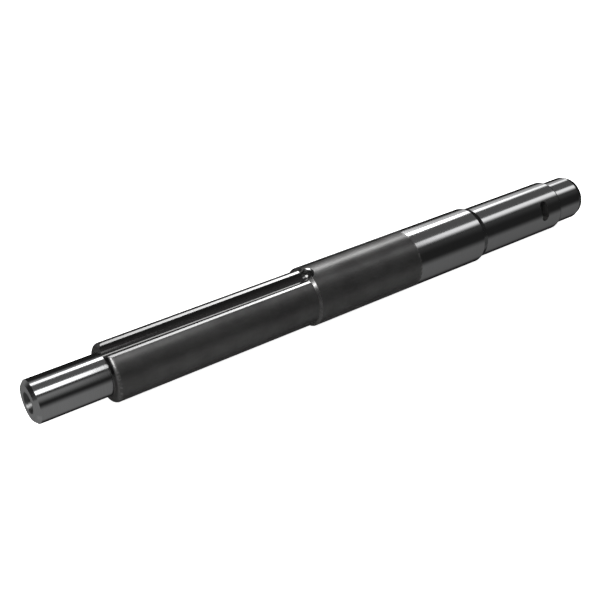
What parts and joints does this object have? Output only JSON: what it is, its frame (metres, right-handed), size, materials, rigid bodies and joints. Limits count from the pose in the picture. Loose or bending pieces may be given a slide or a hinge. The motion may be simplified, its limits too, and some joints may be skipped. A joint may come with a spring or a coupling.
{
  "type": "stepped shaft",
  "caption": "One-piece stepped drive shaft with ground bearing seats, a long keyway that ends round in the body, a threaded centre and a cross pocket.",
  "frame": {"origin": "on the shaft's axis at mid-length", "axes": "+X along the axis from the journal end to the tip; +Z out of the keyway; +Y completes the right-handed set"},
  "size_m": [0.5, 0.045, 0.0449],
  "materials": {
    "steel": "ground bright on the bearing seats, dark oxide on the keyed length and most of the body"
  },
  "bodies": {
    "root": {"shaft": "steel"}
  },
  "joints": []
}
